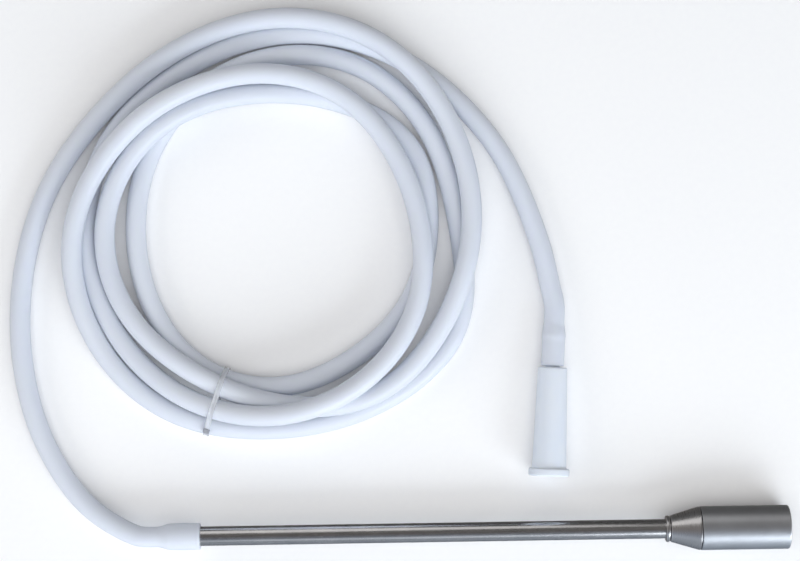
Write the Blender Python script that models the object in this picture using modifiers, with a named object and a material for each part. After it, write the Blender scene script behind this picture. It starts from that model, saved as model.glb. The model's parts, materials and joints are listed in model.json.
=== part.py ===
"""Suction wand with a screwed-on strainer head, on a coiled silicone hose with a push-fit connector.

Metres, +Z up. The wand lies along +X with its head at +X; the origin is under the middle of the
wand, on the surface that it lies on. The hose leaves the wand's tail, lies in a tied coil on the
+Y side and comes back to its connector.
"""

import math

import bmesh
import bpy
from mathutils import Euler, Vector

MM = 0.001

# General
GAP = 0.3 * MM                    # clearance between pieces that touch
ROUND_STEPS = 32                  # facets round a turned piece
COIL_STEPS = 48                   # facets round the coil
WELD = 0.01 * MM                  # merge distance for closing turned shapes

# Wand tube
TUBE_RADIUS = 3.75 * MM
TUBE_WALL = 0.7 * MM
TUBE_SHOWN = 181.5 * MM           # from the hose's mouth to the neck collar
TUBE_IN_HOSE = 12.0 * MM
TUBE_IN_CONE = 9.0 * MM
TUBE_EDGE = 0.25 * MM             # broken edges at both ends

# Neck collar, a ring behind the cone
COLLAR_WALL = 1.05 * MM
COLLAR_LENGTH = 1.5 * MM
COLLAR_ROUND = 0.5 * MM

# Head cone, with a threaded spigot at its front
CONE_STEP = 0.1 * MM              # how far the cone stays below the barrel's surface
CONE_LENGTH = 11.5 * MM
CONE_LAND = 0.5 * MM              # short cylinder at the cone's largest radius
SPIGOT_LENGTH = 10.5 * MM

# Head barrel, screwed onto the spigot
BARREL_RADIUS = 8.5 * MM
BARREL_LENGTH = 34.3 * MM
BARREL_EDGE = 0.5 * MM            # chamfer round the mouth
BARREL_BACK_EDGE = 0.25 * MM
BARREL_BACK_WALL = 0.8 * MM       # round the washer
CHAMBER_WALL = 1.8 * MM
MOUTH_WALL = 1.1 * MM             # round the strainer
THREAD_LENGTH = 12.0 * MM

# Sealing washer between the barrel and the cone's shoulder
WASHER_THICKNESS = 1.2 * MM
WASHER_WALL = 1.1 * MM

# Strainer in the barrel's mouth
SCREEN_THICKNESS = 0.8 * MM
SCREEN_HOLE_RADIUS = 0.75 * MM
SCREEN_HOLE_PITCH = 2.3 * MM
SCREEN_HOLE_STEPS = 10
RING_WALL = 1.5 * MM
RING_LENGTH = 2.4 * MM
RING_RECESS = 0.7 * MM            # how far the ring sits inside the mouth

# Hose
HOSE_RADIUS = 4.0 * MM
HOSE_BORE_RADIUS = 2.0 * MM
HOSE_SIDES_RESOLUTION = 3         # bevel resolution of the hose's plain solids
HOSE_STATION = 12.0 * MM          # distance between points along the plain solids
CUFF_TAPER = 5.0 * MM             # length over which the stretched hose narrows again
CUFF_SWELL = 0.25 * MM            # extra radius over the tube's end

# Connector
FLANGE_RADIUS = 8.0 * MM
FLANGE_LENGTH = 3.0 * MM
FLANGE_ROUND = 0.9 * MM
BODY_FLANGE_RADIUS = 6.7 * MM
BODY_SHOULDER_RADIUS = 5.7 * MM
BODY_LENGTH = 39.4 * MM
SHOULDER_ROUND = 1.0 * MM
SOCKET_MOUTH_RADIUS = 4.7 * MM
SOCKET_END_RADIUS = 4.4 * MM
SOCKET_DEPTH = 22.0 * MM
STEM_RADIUS = 2.8 * MM
STEM_BARB_RISE = 0.3 * MM
STEM_BARB_LENGTH = 2.5 * MM
STEM_LENGTH = 14.0 * MM
STEM_BORE_RADIUS = 1.7 * MM
CONNECTOR_HEADING = math.radians(86.8)   # from the flange towards the hose, in plan
HOSE_END_GAP = 0.6 * MM                  # between the hose's end and the shoulder
HOSE_END_TAPER = 4.0 * MM

# Places on the surface, measured from the hose's exit behind the wand
CONNECTOR_OFFSET = (153.6 * MM, 21.3 * MM)   # centre of the flange's outer face
COIL_OFFSET = (47.3 * MM, 120.3 * MM)
LEAD_ROUTE = (                    # x, y, share of the wand's height above the lying hose
    (-11.0, 2.0, 0.80),
    (-24.4, 10.2, 0.32),
    (-37.8, 26.3, 0.04),
    (-46.5, 44.9, 0.0),
    (-51.6, 68.0, 0.0),
    (-52.4, 88.4, 0.0),
    (-50.2, 107.1, 0.0),
    (-45.6, 124.3, 0.0),
    (-41.1, 135.2, 0.0),
    (-35.1, 145.6, 0.0),
    (-27.0, 155.5, 0.0),
    (-16.0, 161.0, 0.0),
    (-3.0, 163.0, 0.0),
)
TAIL_ROUTE = (                    # x, y, from inside the coil to the stretch before the connector
    (74.0, 176.0),
    (84.0, 180.0),
    (97.0, 181.0),
    (111.0, 176.0),
    (124.9, 163.8),
    (138.7, 144.8),
    (144.3, 133.1),
    (149.6, 119.2),
    (153.6, 105.4),
    (156.2, 93.0),
)

# Coil: the outer shape of all the windings together
COIL_INNER_RADIUS = 49.0 * MM
COIL_OUTER_RADIUS = 86.0 * MM
COIL_HEIGHT = 20.0 * MM
COIL_ROUND = 3.0 * MM

# Tie round the windings
TIE_ANGLE = math.radians(-108.8)
TIE_WIDTH = 2.2 * MM
TIE_THICKNESS = 0.5 * MM
TIE_LIFT = 0.1 * MM               # height of its underside above the surface
TIE_CORNER = 1.3 * MM
LOCK_SIZE = (2.6 * MM, 3.2 * MM, 3.0 * MM)
LOCK_HEIGHT = 4.0 * MM
LOCK_EDGE = 0.5 * MM

# Worked out from the sizes above
TUBE_BORE_RADIUS = TUBE_RADIUS - TUBE_WALL
COLLAR_RADIUS = TUBE_RADIUS + GAP + COLLAR_WALL
CONE_BACK_RADIUS = COLLAR_RADIUS
CONE_FRONT_RADIUS = BARREL_RADIUS - CONE_STEP
WASHER_RADIUS = BARREL_RADIUS - BARREL_BACK_WALL - GAP
THREAD_BORE_RADIUS = WASHER_RADIUS - WASHER_WALL
SPIGOT_RADIUS = THREAD_BORE_RADIUS - GAP
CHAMBER_RADIUS = BARREL_RADIUS - CHAMBER_WALL
MOUTH_RADIUS = BARREL_RADIUS - MOUTH_WALL
SCREEN_RADIUS = MOUTH_RADIUS - GAP
RING_BORE_RADIUS = SCREEN_RADIUS - RING_WALL
SCREEN_RINGS = int((RING_BORE_RADIUS - SCREEN_HOLE_RADIUS) / SCREEN_HOLE_PITCH)
STEM_BARB_RADIUS = STEM_RADIUS + STEM_BARB_RISE
AXIS_HEIGHT = BARREL_RADIUS
WAND_LENGTH = (
    TUBE_IN_HOSE + TUBE_SHOWN + COLLAR_LENGTH + GAP + CONE_LENGTH + GAP + BARREL_LENGTH
)
TAIL_X = -WAND_LENGTH / 2
HOSE_MOUTH_X = TAIL_X + TUBE_IN_HOSE
COLLAR_X = HOSE_MOUTH_X + TUBE_SHOWN
CONE_X = COLLAR_X + COLLAR_LENGTH + GAP
BARREL_X = CONE_X + CONE_LENGTH + GAP
TUBE_LENGTH = TUBE_IN_HOSE + TUBE_SHOWN + COLLAR_LENGTH + GAP + TUBE_IN_CONE
HOSE_WALL_AREA = HOSE_RADIUS**2 - HOSE_BORE_RADIUS**2
EXIT_X = TAIL_X - GAP - CUFF_TAPER

COLOURS = {
    "polished_steel": ((0.60, 0.60, 0.61), 0.22, 1.0),
    "blasted_steel": ((0.46, 0.48, 0.51), 0.48, 1.0),
    "white_silicone": ((0.82, 0.84, 0.90), 0.42, 0.0),
    "milky_plastic": ((0.80, 0.85, 0.92), 0.30, 0.0),
    "clear_plastic": ((0.86, 0.88, 0.93), 0.15, 0.0),
    "seal_rubber": ((0.10, 0.10, 0.11), 0.60, 0.0),
}


def clear_scene():
    """Remove every object that the file opened with."""
    for item in list(bpy.data.objects):
        bpy.data.objects.remove(item, do_unlink=True)


def new_collection(name, scene):
    """Return a new collection linked to the scene."""
    made = bpy.data.collections.new(name)
    scene.collection.children.link(made)
    return made


def new_material(name):
    """Return a Principled material in one of the named colours."""
    colour, roughness, metallic = COLOURS[name]
    made = bpy.data.materials.new(name)
    made.use_nodes = True
    shader = made.node_tree.nodes["Principled BSDF"]
    shader.inputs["Base Color"].default_value = (*colour, 1.0)
    shader.inputs["Roughness"].default_value = roughness
    shader.inputs["Metallic"].default_value = metallic
    made.diffuse_color = (*colour, 1.0)
    return made


def new_empty(name, location, rotation, collection):
    """Return an empty that other pieces are placed from."""
    made = bpy.data.objects.new(name, None)
    made.location = location
    made.rotation_euler = rotation
    collection.objects.link(made)
    return made


def add_piece(name, data, material, collection, parent=None, location=(0, 0, 0), rotation=(0, 0, 0)):
    """Return a new object with its material, placed under its parent."""
    data.materials.append(material)
    made = bpy.data.objects.new(name, data)
    made.location = location
    made.rotation_euler = rotation
    made.parent = parent
    collection.objects.link(made)
    return made


def turned_piece(name, outline, material, collection, parent, offset=0.0, steps=ROUND_STEPS):
    """Turn a closed outline of (radius, distance along the axis) about the parent's Z axis.

    The outline runs down its outer side and back up its bore.
    """
    mesh = bpy.data.meshes.new(name)
    points = [(radius, 0.0, along) for radius, along in outline]
    edges = [(i, (i + 1) % len(points)) for i in range(len(points))]
    mesh.from_pydata(points, edges, [])
    made = add_piece(name, mesh, material, collection, parent, (0, 0, offset))
    screw = made.modifiers.new("turn", "SCREW")
    screw.axis = "Z"
    screw.angle = 2 * math.pi
    screw.steps = steps
    screw.render_steps = steps
    screw.use_merge_vertices = True
    screw.merge_threshold = WELD
    screw.use_smooth_shade = False
    return made


def arc(centre, radius, start, end, steps):
    """Return points along an arc in the plane of an outline, angles in degrees."""
    found = []
    for i in range(steps + 1):
        angle = math.radians(start + (end - start) * i / steps)
        found.append((centre[0] + radius * math.cos(angle), centre[1] + radius * math.sin(angle)))
    return found


def sleeve_outline(outer, bore, low, high, edge=0.0):
    """Return the outline of a plain sleeve, with chamfered outer edges where edge isn't zero."""
    if edge:
        outside = [(outer - edge, high), (outer, high - edge), (outer, low + edge), (outer - edge, low)]
    else:
        outside = [(outer, high), (outer, low)]
    return outside + [(bore, low), (bore, high)]


def stretched_radius(stretched_bore):
    """Return the hose's outer radius where its bore is stretched: its wall keeps its area."""
    return math.sqrt(stretched_bore**2 + HOSE_WALL_AREA)


def smooth_route(points, spacing):
    """Return points at an even spacing along a Catmull-Rom curve through the route's points."""
    knots = [Vector(point) for point in points]
    knots = [2 * knots[0] - knots[1]] + knots + [2 * knots[-1] - knots[-2]]
    fine = []
    for i in range(1, len(knots) - 2):
        before, here, there, after = knots[i - 1:i + 3]
        for step in range(20):
            t = step / 20
            fine.append(
                0.5 * (
                    2 * here
                    + (there - before) * t
                    + (2 * before - 5 * here + 4 * there - after) * t**2
                    + (3 * here - before - 3 * there + after) * t**3
                )
            )
    fine.append(knots[-2])
    lengths = [0.0]
    for a, b in zip(fine, fine[1:]):
        lengths.append(lengths[-1] + (b - a).length)
    count = max(2, round(lengths[-1] / spacing))
    found = []
    place = 0
    for i in range(count + 1):
        want = lengths[-1] * i / count
        while place < len(fine) - 2 and lengths[place + 1] < want:
            place += 1
        span = lengths[place + 1] - lengths[place]
        share = min(1.0, max(0.0, (want - lengths[place]) / span))
        found.append(fine[place].lerp(fine[place + 1], share))
    return found


def hose_tube(name, points, material, collection):
    """Return a round solid along the points: a plain stretch of hose."""
    curve = bpy.data.curves.new(name, "CURVE")
    curve.dimensions = "3D"
    curve.bevel_depth = HOSE_RADIUS
    curve.bevel_resolution = HOSE_SIDES_RESOLUTION
    curve.use_fill_caps = True
    spline = curve.splines.new("POLY")
    spline.points.add(len(points) - 1)
    for point, place in zip(spline.points, points):
        point.co = (*place, 1.0)
    return add_piece(name, curve, material, collection)


def add_difference(target, cutter):
    """Cut the cutter's shape out of the target."""
    cut = target.modifiers.new("cut_" + cutter.name, "BOOLEAN")
    cut.operation = "DIFFERENCE"
    cut.object = cutter
    cutter.hide_render = True
    cutter.display_type = "WIRE"


def build_wand(parts, materials):
    """Make the steel tube, the collar and the cone, which are fixed to each other."""
    steel = materials["polished_steel"]
    axis = new_empty("wand_axis", (0, 0, AXIS_HEIGHT), (0, math.pi / 2, 0), parts)
    turned_piece(
        "wand_tube",
        sleeve_outline(TUBE_RADIUS, TUBE_BORE_RADIUS, 0, TUBE_LENGTH, TUBE_EDGE),
        steel, parts, axis, TAIL_X,
    )
    bore = TUBE_RADIUS + GAP
    collar = (
        [(bore, COLLAR_LENGTH)]
        + arc((COLLAR_RADIUS - COLLAR_ROUND, COLLAR_LENGTH - COLLAR_ROUND), COLLAR_ROUND, 90, 0, 2)
        + arc((COLLAR_RADIUS - COLLAR_ROUND, COLLAR_ROUND), COLLAR_ROUND, 0, -90, 2)
        + [(bore, 0)]
    )
    turned_piece("neck_collar", collar, steel, parts, axis, COLLAR_X)
    tip = CONE_LENGTH + SPIGOT_LENGTH
    edge = BARREL_EDGE
    cone = [
        (SPIGOT_RADIUS - edge, tip),
        (SPIGOT_RADIUS, tip - edge),
        (SPIGOT_RADIUS, CONE_LENGTH),
        (CONE_FRONT_RADIUS, CONE_LENGTH),
        (CONE_FRONT_RADIUS, CONE_LENGTH - CONE_LAND),
        (CONE_BACK_RADIUS, 0),
        (bore, 0),
        (bore, TUBE_IN_CONE + GAP),
        (TUBE_BORE_RADIUS, TUBE_IN_CONE + GAP),
        (TUBE_BORE_RADIUS, tip),
    ]
    turned_piece("head_cone", cone, steel, parts, axis, CONE_X)


def build_barrel(parts, guides, materials):
    """Make the barrel that screws onto the cone, its washer, and the strainer in its mouth."""
    axis = new_empty("thread_axis", (BARREL_X, 0, AXIS_HEIGHT), (0, math.pi / 2, 0), parts)
    counterbore = WASHER_RADIUS + GAP
    counterbore_depth = WASHER_THICKNESS + 2 * GAP
    seat = BARREL_LENGTH - RING_RECESS - RING_LENGTH - GAP - SCREEN_THICKNESS - GAP
    barrel = [
        (BARREL_RADIUS - BARREL_EDGE, BARREL_LENGTH),
        (BARREL_RADIUS, BARREL_LENGTH - BARREL_EDGE),
        (BARREL_RADIUS, BARREL_BACK_EDGE),
        (BARREL_RADIUS - BARREL_BACK_EDGE, 0),
        (counterbore, 0),
        (counterbore, counterbore_depth),
        (THREAD_BORE_RADIUS, counterbore_depth),
        (THREAD_BORE_RADIUS, THREAD_LENGTH),
        (CHAMBER_RADIUS, THREAD_LENGTH),
        (CHAMBER_RADIUS, seat),
        (MOUTH_RADIUS, seat),
        (MOUTH_RADIUS, BARREL_LENGTH),
    ]
    turned_piece("head_barrel", barrel, materials["blasted_steel"], parts, axis)
    washer = sleeve_outline(WASHER_RADIUS, THREAD_BORE_RADIUS, 0, WASHER_THICKNESS)
    turned_piece("barrel_washer", washer, materials["seal_rubber"], parts, axis, GAP)
    build_screen(seat + GAP, axis, parts, guides, materials)
    ring = sleeve_outline(SCREEN_RADIUS, RING_BORE_RADIUS, 0, RING_LENGTH)
    ring_place = BARREL_LENGTH - RING_RECESS - RING_LENGTH
    turned_piece("strainer_ring", ring, materials["polished_steel"], parts, axis, ring_place)


def hole_places():
    """Return the middles of the screen's holes: rings of six, twelve and so on round the middle one."""
    places = [(0.0, 0.0)]
    sixths = [math.radians(60 * k) for k in range(7)]
    corners = [(SCREEN_HOLE_PITCH * math.cos(a), SCREEN_HOLE_PITCH * math.sin(a)) for a in sixths]
    for ring in range(1, SCREEN_RINGS + 1):
        for (ax, ay), (bx, by) in zip(corners, corners[1:]):
            for step in range(ring):
                share = step / ring
                places.append((ring * (ax + (bx - ax) * share), ring * (ay + (by - ay) * share)))
    return places


def build_screen(along, axis, parts, guides, materials):
    """Make the strainer disc and cut its holes."""
    disc = bmesh.new()
    bmesh.ops.create_cone(
        disc, cap_ends=True, segments=ROUND_STEPS,
        radius1=SCREEN_RADIUS, radius2=SCREEN_RADIUS, depth=SCREEN_THICKNESS,
    )
    mesh = bpy.data.meshes.new("strainer_screen")
    disc.to_mesh(mesh)
    disc.free()
    middle = (0, 0, along + SCREEN_THICKNESS / 2)
    screen = add_piece("strainer_screen", mesh, materials["polished_steel"], parts, axis, middle)
    drills = bmesh.new()
    for x, y in hole_places():
        made = bmesh.ops.create_cone(
            drills, cap_ends=True, segments=SCREEN_HOLE_STEPS,
            radius1=SCREEN_HOLE_RADIUS, radius2=SCREEN_HOLE_RADIUS, depth=3 * SCREEN_THICKNESS,
        )
        bmesh.ops.translate(drills, verts=made["verts"], vec=(x, y, 0))
    drill_mesh = bpy.data.meshes.new("screen_drills")
    drills.to_mesh(drill_mesh)
    drills.free()
    cutter = add_piece("screen_drills", drill_mesh, materials["seal_rubber"], guides, axis, middle)
    add_difference(screen, cutter)


def build_connector(parts, materials):
    """Make the moulded connector and the hose's end stretched over its stem.

    It lies on its flange and on its shoulder, so its axis slopes a little towards the hose.
    """
    slope = math.asin((FLANGE_RADIUS - BODY_SHOULDER_RADIUS) / BODY_LENGTH)
    direction = Vector(
        (
            math.cos(slope) * math.cos(CONNECTOR_HEADING),
            math.cos(slope) * math.sin(CONNECTOR_HEADING),
            -math.sin(slope),
        )
    )
    height = FLANGE_RADIUS * math.cos(slope) + FLANGE_LENGTH * math.sin(slope) + TIE_LIFT
    place = (EXIT_X + CONNECTOR_OFFSET[0], CONNECTOR_OFFSET[1], height)
    turn = direction.to_track_quat("Z", "Y").to_euler()
    axis = new_empty("connector_axis", place, turn, parts)
    shoulder = FLANGE_LENGTH + BODY_LENGTH
    tip = shoulder + STEM_LENGTH
    flange_round = FLANGE_RADIUS - FLANGE_ROUND
    shoulder_round = BODY_SHOULDER_RADIUS - SHOULDER_ROUND
    body = (
        [(STEM_BORE_RADIUS, tip), (STEM_RADIUS, tip), (STEM_BARB_RADIUS, tip - STEM_BARB_LENGTH)]
        + [(STEM_RADIUS, tip - STEM_BARB_LENGTH), (STEM_RADIUS, shoulder)]
        + arc((shoulder_round, shoulder - SHOULDER_ROUND), SHOULDER_ROUND, 90, 0, 3)
        + [(BODY_FLANGE_RADIUS, FLANGE_LENGTH)]
        + arc((flange_round, FLANGE_LENGTH - FLANGE_ROUND), FLANGE_ROUND, 90, 0, 3)
        + arc((flange_round, FLANGE_ROUND), FLANGE_ROUND, 0, -90, 3)
        + [(SOCKET_MOUTH_RADIUS, 0), (SOCKET_END_RADIUS, SOCKET_DEPTH), (STEM_BORE_RADIUS, SOCKET_DEPTH)]
    )
    turned_piece("connector_body", body, materials["milky_plastic"], parts, axis)
    end_bore = STEM_BARB_RADIUS + GAP
    end_radius = stretched_radius(STEM_RADIUS)
    low = shoulder + HOSE_END_GAP
    stretched_top = tip + GAP
    top = stretched_top + HOSE_END_TAPER
    end = [
        (HOSE_RADIUS, top),
        (end_radius, stretched_top),
        (end_radius, low),
        (end_bore, low),
        (end_bore, stretched_top),
        (HOSE_BORE_RADIUS, stretched_top),
        (HOSE_BORE_RADIUS, top),
    ]
    turned_piece("hose_end", end, materials["white_silicone"], parts, axis)
    return Vector(place) + direction * (top + GAP), direction


def build_cuff(parts, materials):
    """Make the hose's stretched end over the wand's tail."""
    axis = new_empty("hose_exit", (EXIT_X, 0, AXIS_HEIGHT), (0, math.pi / 2, 0), parts)
    bore = TUBE_RADIUS + GAP
    radius = stretched_radius(TUBE_RADIUS)
    tube_end = CUFF_TAPER
    mouth = HOSE_MOUTH_X - EXIT_X
    swell_to = tube_end + 0.6 * (mouth - tube_end)
    cuff = [
        (radius, mouth),
        (radius + CUFF_SWELL, swell_to),
        (radius, tube_end),
        (HOSE_RADIUS, 0),
        (HOSE_BORE_RADIUS, 0),
        (HOSE_BORE_RADIUS, tube_end),
        (bore, tube_end),
        (bore, mouth),
    ]
    turned_piece("hose_cuff", cuff, materials["white_silicone"], parts, axis)


def outside_coil(points):
    """Keep the points where a hose lies clear of the coil's outer side."""
    middle = Vector((EXIT_X + COIL_OFFSET[0], COIL_OFFSET[1]))
    clear = COIL_OUTER_RADIUS + HOSE_RADIUS + GAP
    return [point for point in points if (point.xy - middle).length >= clear]


def build_hose(connector_start, connector_direction, parts, materials):
    """Make the stretches before and after the coil. Each begins and ends straight at its fitting."""
    silicone = materials["white_silicone"]
    lying = HOSE_RADIUS + TIE_LIFT
    start = Vector((EXIT_X - GAP, 0.0, AXIS_HEIGHT))
    lead = [start + Vector((-HOSE_RADIUS, 0.0, 0.0))]
    for x, y, share in LEAD_ROUTE:
        lead.append(Vector((EXIT_X + x * MM, y * MM, lying + (AXIS_HEIGHT - lying) * share)))
    fine_lead = outside_coil(smooth_route(lead, HOSE_STATION / 8))
    hose_tube("hose_lead", [start] + smooth_route(fine_lead, HOSE_STATION), silicone, parts)
    tail = [Vector((EXIT_X + x * MM, y * MM, lying)) for x, y in TAIL_ROUTE]
    tail.append(connector_start + connector_direction * HOSE_RADIUS)
    fine_tail = outside_coil(smooth_route(tail, HOSE_STATION / 8))
    hose_tube("hose_tail", smooth_route(fine_tail, HOSE_STATION) + [connector_start], silicone, parts)


def build_coil(parts, guides, materials):
    """Make the solid that holds the coil's windings, with a groove for the tie under it."""
    axis = new_empty("coil_axis", (EXIT_X + COIL_OFFSET[0], COIL_OFFSET[1], 0), (0, 0, 0), parts)
    outer = COIL_OUTER_RADIUS - COIL_ROUND
    inner = COIL_INNER_RADIUS + COIL_ROUND
    high = COIL_HEIGHT - COIL_ROUND
    outline = (
        arc((outer, high), COIL_ROUND, 90, 0, 2)
        + arc((outer, COIL_ROUND), COIL_ROUND, 0, -90, 2)
        + arc((inner, COIL_ROUND), COIL_ROUND, 270, 180, 2)
        + arc((inner, high), COIL_ROUND, 180, 90, 2)
    )
    coil = turned_piece(
        "hose_coil", outline, materials["white_silicone"], parts, axis, steps=COIL_STEPS
    )
    groove = bmesh.new()
    bmesh.ops.create_cube(groove, size=1.0)
    depth = TIE_LIFT + TIE_THICKNESS + GAP
    size = (2 * COIL_OUTER_RADIUS, TIE_WIDTH + 2 * GAP, 2 * depth)
    bmesh.ops.scale(groove, vec=size, verts=groove.verts)
    bmesh.ops.translate(groove, vec=(COIL_OUTER_RADIUS, 0, 0), verts=groove.verts)
    mesh = bpy.data.meshes.new("tie_groove")
    groove.to_mesh(mesh)
    groove.free()
    cutter = add_piece(
        "tie_groove", mesh, materials["clear_plastic"], guides, axis, rotation=(0, 0, TIE_ANGLE)
    )
    add_difference(coil, cutter)
    return axis


def rounded_rectangle(width, height, corner):
    """Return the points of a rectangle with round corners, about the origin."""
    x = width / 2 - corner
    y = height / 2 - corner
    middles = ((x, y, 0), (-x, y, 90), (-x, -y, 180), (x, -y, 270))
    points = []
    for mx, my, start in middles:
        points += arc((mx, my), corner, start, start + 90, 3)
    return points


def build_tie(coil_axis, parts, materials):
    """Make the clear strap that goes round the windings, and the lock that holds its ends."""
    clear = materials["clear_plastic"]
    inside_width = COIL_OUTER_RADIUS - COIL_INNER_RADIUS + 2 * GAP
    inside_height = COIL_HEIGHT - TIE_LIFT - TIE_THICKNESS + GAP
    outside_width = inside_width + 2 * TIE_THICKNESS
    outside_height = inside_height + 2 * TIE_THICKNESS
    curve = bpy.data.curves.new("tie_strap", "CURVE")
    curve.dimensions = "2D"
    curve.fill_mode = "BOTH"
    curve.extrude = TIE_WIDTH / 2
    loops = (
        rounded_rectangle(outside_width, outside_height, TIE_CORNER),
        rounded_rectangle(inside_width, inside_height, TIE_CORNER - TIE_THICKNESS),
    )
    for loop in loops:
        spline = curve.splines.new("POLY")
        spline.points.add(len(loop) - 1)
        for point, (x, y) in zip(spline.points, loop):
            point.co = (x, y, 0, 1)
        spline.use_cyclic_u = True
    turn = Euler((math.pi / 2, 0, TIE_ANGLE))
    middle_radius = (COIL_OUTER_RADIUS + COIL_INNER_RADIUS) / 2
    along = Vector((math.cos(TIE_ANGLE), math.sin(TIE_ANGLE), 0))
    middle = along * middle_radius
    middle.z = TIE_LIFT + outside_height / 2
    add_piece("tie_strap", curve, clear, parts, coil_axis, middle, turn)
    lock = bmesh.new()
    bmesh.ops.create_cube(lock, size=1.0)
    bmesh.ops.scale(lock, vec=LOCK_SIZE, verts=lock.verts)
    mesh = bpy.data.meshes.new("tie_lock")
    lock.to_mesh(mesh)
    lock.free()
    place = along * (middle_radius + outside_width / 2 + GAP + LOCK_SIZE[0] / 2)
    place.z = LOCK_HEIGHT
    block = add_piece("tie_lock", mesh, clear, parts, coil_axis, place, (0, 0, TIE_ANGLE))
    bevel = block.modifiers.new("edges", "BEVEL")
    bevel.width = LOCK_EDGE
    bevel.segments = 2


def shade_round(parts):
    """Shade the turned pieces smooth, with sharp edges where faces meet at a corner."""
    for item in parts.objects:
        if item.type == "MESH":
            item.data.shade_smooth()
            item.data.set_sharp_from_angle(angle=math.radians(35))
        for modifier in item.modifiers:
            if modifier.type == "SCREW":
                modifier.use_smooth_shade = True


def main():
    """Build the whole object."""
    clear_scene()
    scene = bpy.context.scene
    parts = new_collection("suction_wand_set", scene)
    guides = new_collection("cutters", scene)
    materials = {name: new_material(name) for name in COLOURS}
    build_wand(parts, materials)
    build_barrel(parts, guides, materials)
    build_cuff(parts, materials)
    start, direction = build_connector(parts, materials)
    build_hose(start, direction, parts, materials)
    coil_axis = build_coil(parts, guides, materials)
    build_tie(coil_axis, parts, materials)
    shade_round(parts)
    bpy.context.view_layer.update()


main()
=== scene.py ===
"""Looks of a steel suction wand on a coiled silicone hose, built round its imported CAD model.

Metres, +Z up. The wand lies along +X with its head at +X. The hose leaves the wand's tail, lies in
a tied coil on the +Y side and ends on a moulded connector. The barrel unscrews from the cone.
"""

import json
import logging
import math
from dataclasses import dataclass
from enum import Enum

import bpy
import numpy as np
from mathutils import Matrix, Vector
from mathutils.geometry import delaunay_2d_cdt


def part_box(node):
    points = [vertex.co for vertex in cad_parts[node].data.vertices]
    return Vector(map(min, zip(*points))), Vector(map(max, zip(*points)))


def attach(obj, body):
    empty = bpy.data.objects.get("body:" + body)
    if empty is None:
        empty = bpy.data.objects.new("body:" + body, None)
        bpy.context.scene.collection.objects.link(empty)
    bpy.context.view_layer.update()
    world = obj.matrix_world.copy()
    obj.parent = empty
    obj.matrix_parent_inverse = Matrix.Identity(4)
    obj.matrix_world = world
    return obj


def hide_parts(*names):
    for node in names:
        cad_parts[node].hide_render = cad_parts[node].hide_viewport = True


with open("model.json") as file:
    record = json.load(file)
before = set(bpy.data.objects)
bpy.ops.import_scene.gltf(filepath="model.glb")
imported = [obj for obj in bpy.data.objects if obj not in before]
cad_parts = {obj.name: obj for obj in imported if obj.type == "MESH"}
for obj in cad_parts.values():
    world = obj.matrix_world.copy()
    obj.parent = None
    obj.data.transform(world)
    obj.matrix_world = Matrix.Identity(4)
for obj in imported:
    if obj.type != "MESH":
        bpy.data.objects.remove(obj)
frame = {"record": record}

LOG = logging.getLogger("suction_wand")
MM = 0.001
TURN = 2.0 * math.pi
UP = np.array([0.0, 0.0, 1.0])
FACETS = 128    # points round a turned piece

Pair = tuple[float, float]
Triple = tuple[float, float, float]
Piece = bpy.types.Object
Material = bpy.types.Material
Socket = bpy.types.NodeSocket


class Body(Enum):
    """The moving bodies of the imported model."""

    WAND = "wand"
    WASHER = "washer"
    BARREL = "barrel"


class Grain(Enum):
    """Direction of a metal's finest marks, as pattern repeats per metre along X, Y and Z."""

    ALONG = (60.0, 5200.0, 5200.0)
    ROUND = (7000.0, 260.0, 260.0)


# ---------------------------------------------------------------------------------------------
# Shapes worked out as whole arrays


def unit(vectors: np.ndarray) -> np.ndarray:
    """Return the vectors at length one."""
    return vectors / np.linalg.norm(vectors, axis=-1, keepdims=True)


def smoothstep(value: np.ndarray) -> np.ndarray:
    """Return 3v^2 - 2v^3 of each value held between 0 and 1."""
    held = np.clip(value, 0.0, 1.0)
    return held * held * (3.0 - 2.0 * held)


def chord_lengths(points: np.ndarray) -> np.ndarray:
    """Return the distance along a row of points up to each of them."""
    steps = np.linalg.norm(np.diff(points, axis=0), axis=1)
    return np.concatenate([[0.0], np.cumsum(steps)])


def at_distance(points: np.ndarray, distance: np.ndarray) -> np.ndarray:
    """Return the places at the given distances along a row of points."""
    along = chord_lengths(points)
    return np.stack([np.interp(distance, along, column) for column in points.T], axis=1)


def evenly(points: np.ndarray, spacing: float) -> np.ndarray:
    """Return a row of points again, about one spacing apart."""
    total = chord_lengths(points)[-1]
    return at_distance(points, np.linspace(0.0, total, max(2, round(total / spacing)) + 1))


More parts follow.
